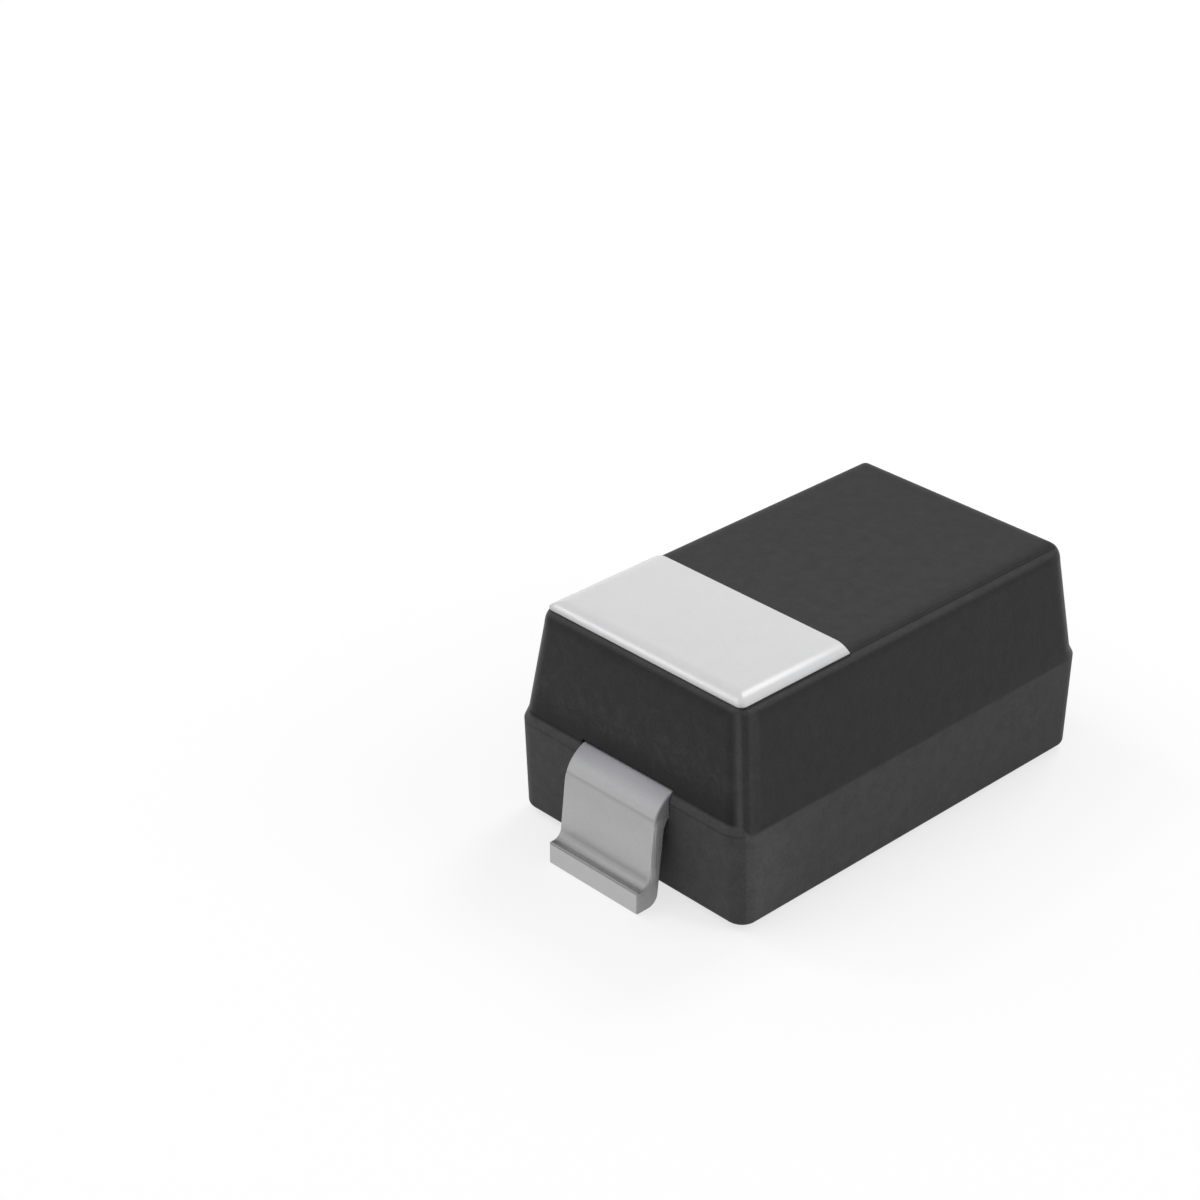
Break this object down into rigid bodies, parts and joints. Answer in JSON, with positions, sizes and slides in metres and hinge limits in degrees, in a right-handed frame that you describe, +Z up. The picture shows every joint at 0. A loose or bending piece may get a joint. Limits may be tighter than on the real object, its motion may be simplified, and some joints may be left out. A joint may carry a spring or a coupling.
{
  "type": "surface mount zener diode",
  "caption": "Small black moulded surface mount zener diode with a pale cathode band over one end of its top and a bent flat lead with a small foot at each end.",
  "frame": {"origin": "on the seating plane (the underside of both feet) under the middle of the part", "axes": "+X along the body from the cathode, the banded end, to the anode; +Z up, out of the board"},
  "size_m": [0.0032, 0.0016, 0.0013],
  "materials": {
    "moulding_compound": "fine matte texture of a sparked mould cavity, charcoal black",
    "marking_ink": "cured pale grey pad-printed ink, satin, with a soft raised rim",
    "tinned_lead": "matte tin plating over a nickel-iron alloy strip",
    "solder": "dull high-lead solder",
    "silicon": "sawn silicon, dark blue-grey and faintly glossy",
    "contact_metal": "bright deposited aluminium",
    "gold_wire": "drawn gold, bright"
  },
  "bodies": {
    "root": {"moulded_body": "moulding_compound", "cathode_band": "marking_ink", "cathode_lead": "tinned_lead", "anode_lead": "tinned_lead", "die_attach": "solder", "zener_die": "silicon", "bond_pad": "contact_metal", "bond_wire": "gold_wire"}
  },
  "joints": []
}
